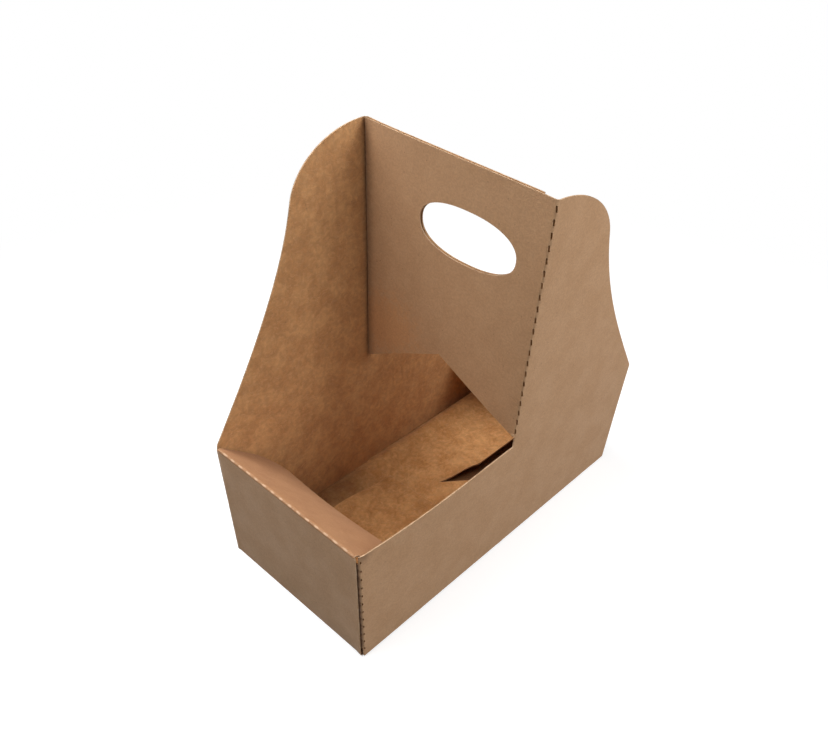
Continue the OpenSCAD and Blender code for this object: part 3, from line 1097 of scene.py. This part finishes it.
@dataclass
class BottomLock:
    """The bottom flaps: one under each end panel, a right one in two depths, a left one with a tongue."""

    tray: Tray
    settling: Settling
    end_depth: float = 26 * MM
    taper: float = 5 * MM
    right_reach: float = 28.5 * MM
    right_end: float = 6 * MM
    under_reach: float = 20 * MM
    left_short: float = 12 * MM
    tongue_reach: float = 28.5 * MM
    tongue_lap: float = 10 * MM
    slot_tip: Point = (9.5 * MM, 4 * MM)
    slot_mouth: float = 34.5 * MM
    left_reach: float = 5 * MM
    tongue_slope: float = 40.0
    spring_rise: float = 4.6 * MM
    spring_width: float = 9 * MM
    bulge_rise: float = 7 * MM
    bulge_side: float = 7 * MM
    level_step: float = 2 * MM
    free_rise: float = 4.5 * MM

    @property
    def root(self) -> float:
        """Distance from the middle line out to where a bottom flap starts."""
        return self.tray.inner_half_width - 0.5 * MM

    def _lay(self, height: Callable[[np.ndarray, np.ndarray], np.ndarray]) -> Place:
        """Makes the placing of a bottom flap, drawn as seen from below, from its height."""
        def place(u: np.ndarray, y: np.ndarray, lift: np.ndarray) -> np.ndarray:
            """Lays flat places, whose first number runs towards the front."""
            return self.settling.apply(np.stack([-u, y, height(-u, y) - lift], axis=1))

        return place

    def _layer(self, number: int) -> float:
        """Mid-thickness height of a layer of the bottom."""
        return (number + 0.5) * self.tray.board

    def ground_height(self, x: np.ndarray, y: np.ndarray) -> np.ndarray:
        """Height of the flaps that lie on the ground."""
        return np.full(len(x), self._layer(0))

    def tongue_side(self, x: np.ndarray) -> np.ndarray:
        """The tongue's slanted side, as a distance from the middle line."""
        return self.slot_tip[1] - (x - self.slot_tip[0]) * math.tan(math.radians(self.tongue_slope))

    def left_height(self, x: np.ndarray, y: np.ndarray) -> np.ndarray:
        """Height of the left flap: under the right one in front, then springing up towards the back."""
        tray = self.tray
        reach = self.level_step / 2
        climb = smooth(-self.right_end - reach, reach - self.right_end, x) * tray.board
        loose = smooth(0, self.spring_width, y - self.tongue_side(x))
        loose = loose * smooth(-self.right_end, self.slot_mouth, x)
        bulge = smooth(self.right_reach, self.right_reach + self.bulge_side, y)
        bulge = bulge * smooth(-tray.half_length, tray.half_length, x)
        at_wall = 1 - smooth(-self.bulge_side, 0, y - tray.inner_half_width)
        return self._layer(1) + climb + at_wall * np.maximum(self.spring_rise * loose, self.bulge_rise * bulge)

    def right_height(self, x: np.ndarray, y: np.ndarray) -> np.ndarray:
        """Height of the right flap, whose free edge springs up a little at the front."""
        free = smooth(0.3 * self.right_reach, self.right_reach, y) * (1 - smooth(-45 * MM, -10 * MM, x))
        return self._layer(2) + self.free_rise * free

    def right_outline(self) -> list[Point]:
        """Deep front half of the right flap, which lies on top."""
        tray = self.tray
        start = tray.side_gap - tray.hinge_x
        return [(start, -self.root), (-self.right_end, -self.root),
                (-self.right_end, self.right_reach), (start + self.taper, self.right_reach)]

    def under_outline(self) -> list[Point]:
        """Back half of the right flap, tucked under the left one."""
        tray = self.tray
        finish = tray.hinge_x - self.end_depth - 0.2 * MM
        return [(-self.right_end, -self.root), (finish, -self.root),
                (finish, self.under_reach), (-self.right_end, self.under_reach)]

    def left_outline(self) -> list[Point]:
        """Left flap: short in front, then its tongue, the locking slot and the back half."""
        tray = self.tray
        start, finish = tray.side_gap - tray.hinge_x, tray.hinge_x - 0.3 * MM
        lap = -self.right_end - self.tongue_lap
        run = (self.slot_tip[1] + self.tongue_reach) / math.tan(math.radians(self.tongue_slope))
        return [(start + self.taper, self.left_short), (lap, self.left_short), (lap, -self.tongue_reach),
                (self.slot_tip[0] + run, -self.tongue_reach), self.slot_tip,
                (self.slot_mouth, -self.left_reach), (finish - self.taper, -self.left_reach),
                (finish, self.root), (start, self.root)]

    def end_outline(self, side: int) -> list[Point]:
        """Flap under the front (-1) or back (1) end panel."""
        tray = self.tray
        out, tip = self.root + tray.hinge_x - tray.inner_half_width, tray.hinge_x - self.end_depth
        points = [(out, -self.root), (out, self.root),
                  (tip, self.root - self.taper), (tip, self.taper - self.root)]
        return [(side * x, side * y) for x, y in points]

    def build(self, finish: BoardFinish) -> list[bpy.types.Object]:
        """Builds the bottom flaps, dresses them and rides them on the carrier.

        Args:
            finish: Surfaces of the board.

        Returns:
            The new pieces.
        """
        half = self.tray.board / 2
        drawn = [("right_bottom_flap_front", self.right_outline(), self.right_height),
                 ("right_bottom_flap_back", self.under_outline(), self.ground_height),
                 ("left_bottom_flap", self.left_outline(), self.left_height),
                 ("front_bottom_flap", self.end_outline(-1), self.ground_height),
                 ("back_bottom_flap", self.end_outline(1), self.ground_height)]
        # Painted shade: the tucked-under back flap is darkened all over, and the left flap along the left wall in
        # front.
        painted_shades = {"right_bottom_flap_back": [Fold(Along.ROW, at=0.0, low=-0.1, high=0.1, reach=90 * MM)],
                  "left_bottom_flap": [Fold(Along.ROW, at=40 * MM, low=32 * MM, high=90 * MM,
                                            reach=60 * MM, faint=0.5)]}
        pieces = []
        for name, outline, height in drawn:
            mirrored = [(-x, y) for x, y in reversed(outline)]
            blank = Blank(mirrored, painted_shades=painted_shades.get(name, []))
            piece = blank.mesh(name, self._lay(height), (half, -half))
            finish.dress(piece)
            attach(piece, "carrier")
            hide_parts("carrier_sheet")
            pieces.append(piece)
        return pieces


@dataclass
class Studio:
    """Camera, lamps, backdrop and floor."""

    camera_place: tuple[float, float, float] = (-0.2246, -0.1868, 0.2805)
    azimuth: float = -47.84
    elevation: float = 37.17
    roll: float = 2.08
    lens: float = 31.39
    shift: float = 0.047
    sky_level: float = 0.03
    floor_colour: Colour = srgb(98, 97, 95)
    floor_size: float = 6.0
    white_from: Point = (0.22, 0.5)

    def set_camera(self) -> None:
        """Places the camera at the photograph's viewing angle."""
        data = bpy.data.cameras.new("camera")
        data.lens, data.sensor_width, data.shift_y = self.lens, 36.0, self.shift
        data.clip_start, data.clip_end = 0.01, 20.0
        camera = bpy.data.objects.new("camera", data)
        bpy.context.scene.collection.objects.link(camera)
        a, e, r = (math.radians(value) for value in (self.azimuth, self.elevation, self.roll))
        back = Vector((math.sin(a) * math.cos(e), -math.cos(a) * math.cos(e), math.sin(e)))
        level = Vector((math.cos(a), math.sin(a), 0.0))
        upright = back.cross(level)
        right = math.cos(r) * level + math.sin(r) * upright
        up = math.cos(r) * upright - math.sin(r) * level
        facing = Matrix((right, up, back)).transposed().to_4x4()
        camera.matrix_world = Matrix.Translation(self.camera_place) @ facing
        bpy.context.scene.camera = camera

    def _lamp(self, name: str, place: tuple[float, float, float], size: float, power: float) -> None:
        """Adds a square soft lamp that faces the tray.

        Args:
            name: Name of the lamp.
            place: Where it stands.
            size: Length of a side.
            power: Watts.
        """
        data = bpy.data.lights.new(name, "AREA")
        data.size, data.energy = size, power
        lamp = bpy.data.objects.new(name, data)
        lamp.location = place
        aim = Vector((0.0, 0.0, 0.06)) - Vector(place)
        lamp.rotation_mode = "QUATERNION"
        lamp.rotation_quaternion = aim.to_track_quat("-Z", "Y")
        bpy.context.scene.collection.objects.link(lamp)

    def set_lamps(self) -> None:
        """Adds the soft lamps: from the left and low from the right, with weak ones overhead and in front."""
        self._lamp("left_lamp", (-0.1, 0.3, 0.6), 0.35, 3.6)
        self._lamp("right_lamp", (0.1, -1.0, 0.35), 0.6, 3.2)
        self._lamp("right_high_lamp", (0.24, -0.4, 0.46), 0.3, 1.7)
        self._lamp("overhead_lamp", (0.0, 0.0, 0.9), 0.5, 0.8)
        self._lamp("front_lamp", (-0.4, 0.05, 0.5), 0.3, 1.25)

    @staticmethod
    def _seen_directly(g: Graph) -> bpy.types.NodeSocket:
        """One for what the camera sees, also in gloss and through glass."""
        path = g.add("LightPath").outputs
        seen = g.sum("MAXIMUM", path["Is Camera Ray"], path["Is Glossy Ray"])
        return g.sum("MAXIMUM", seen, path["Is Transmission Ray"])

    def set_world(self) -> None:
        """Lights the scene from all round and shows a white backdrop."""
        world = bpy.data.worlds.new("studio")
        world.use_nodes = True
        g = Graph(world.node_tree)
        light = g.add("Background", {"Color": (1.0, 0.985, 0.965, 1.0), "Strength": self.sky_level})
        white = g.add("Background", {"Color": (1.0, 1.0, 1.0, 1.0), "Strength": 1.0})
        mixed = g.add("MixShader", {0: self._seen_directly(g), 1: light.outputs[0], 2: white.outputs[0]})
        g.add("OutputWorld", {"Surface": mixed.outputs[0]})
        bpy.context.scene.world = world

    def lay_floor(self) -> None:
        """Lays a pale floor that keeps the tray's shadow and otherwise looks white."""
        half = self.floor_size / 2
        data = bpy.data.meshes.new("floor")
        corners = [(-half, -half, 0), (half, -half, 0), (half, half, 0), (-half, half, 0)]
        data.from_pydata(corners, [], [(0, 1, 2, 3)])
        floor = bpy.data.objects.new("floor", data)
        floor.location.z = -0.2 * MM
        bpy.context.scene.collection.objects.link(floor)
        made = bpy.data.materials.new("pale_floor")
        made.use_nodes = True
        g = Graph(made.node_tree)
        board = g.add("BsdfDiffuse", {"Color": self.floor_colour})
        lit = g.add("BsdfDiffuse", {"Color": (0.5, 0.5, 0.5, 1.0)})
        glow = g.add("Emission", {"Color": (1.0, 1.0, 1.0, 1.0), "Strength": 0.67})
        near = g.add("AddShader", {0: lit.outputs[0], 1: glow.outputs[0]})
        white = g.add("Emission", {"Color": (1.0, 1.0, 1.0, 1.0), "Strength": 1.0})
        spot = g.add("TexCoord").outputs["Object"]
        away = g.ramp(g.add("VectorMath", {0: spot}, operation="LENGTH").outputs[1], *self.white_from)
        seen = g.add("MixShader", {0: away, 1: near.outputs[0], 2: white.outputs[0]})
        mixed = g.add("MixShader", {0: self._seen_directly(g), 1: board.outputs[0], 2: seen.outputs[0]})
        g.add("OutputMaterial", {"Surface": mixed.outputs[0]})
        data.materials.append(made)

    def build(self) -> None:
        """Sets up the whole studio."""
        self.set_camera()
        self.set_lamps()
        self.set_world()
        self.lay_floor()
        bpy.context.scene.view_settings.view_transform = "Standard"


def main() -> None:
    """Builds every piece of the tray, dresses it and sets up the studio."""
    logging.basicConfig(level=logging.INFO, format="%(name)s: %(message)s")
    tray = Tray.from_frame()
    settling = Settling(tray)
    finish = BoardFinish()
    grip_offset = 10 * MM
    pieces = [
        HalfSheet(tray, settling, "right_half_sheet", turned=False, grip_side=-grip_offset, foot_step=5.5 * MM,
                  wall_dips=(-1 * MM, 2 * MM), free_short=0.0).build(finish),
        HalfSheet(tray, settling, "left_half_sheet", turned=True, grip_side=grip_offset, foot_step=0.0,
                  wall_dips=(4 * MM, 4 * MM), free_short=6 * MM).build(finish),
        *BottomLock(tray, settling).build(finish),
        RollOverFlap(tray, "front_roll_over_flap", "front_flap", "front_end_flap", turned=False).build(finish),
        RollOverFlap(tray, "back_roll_over_flap", "back_flap", "back_end_flap", turned=True).build(finish),
    ]
    for piece in pieces:
        log.info("%s: %d faces", piece.name, len(piece.data.polygons))
    Studio().build()


if __name__ == "__main__":
    main()
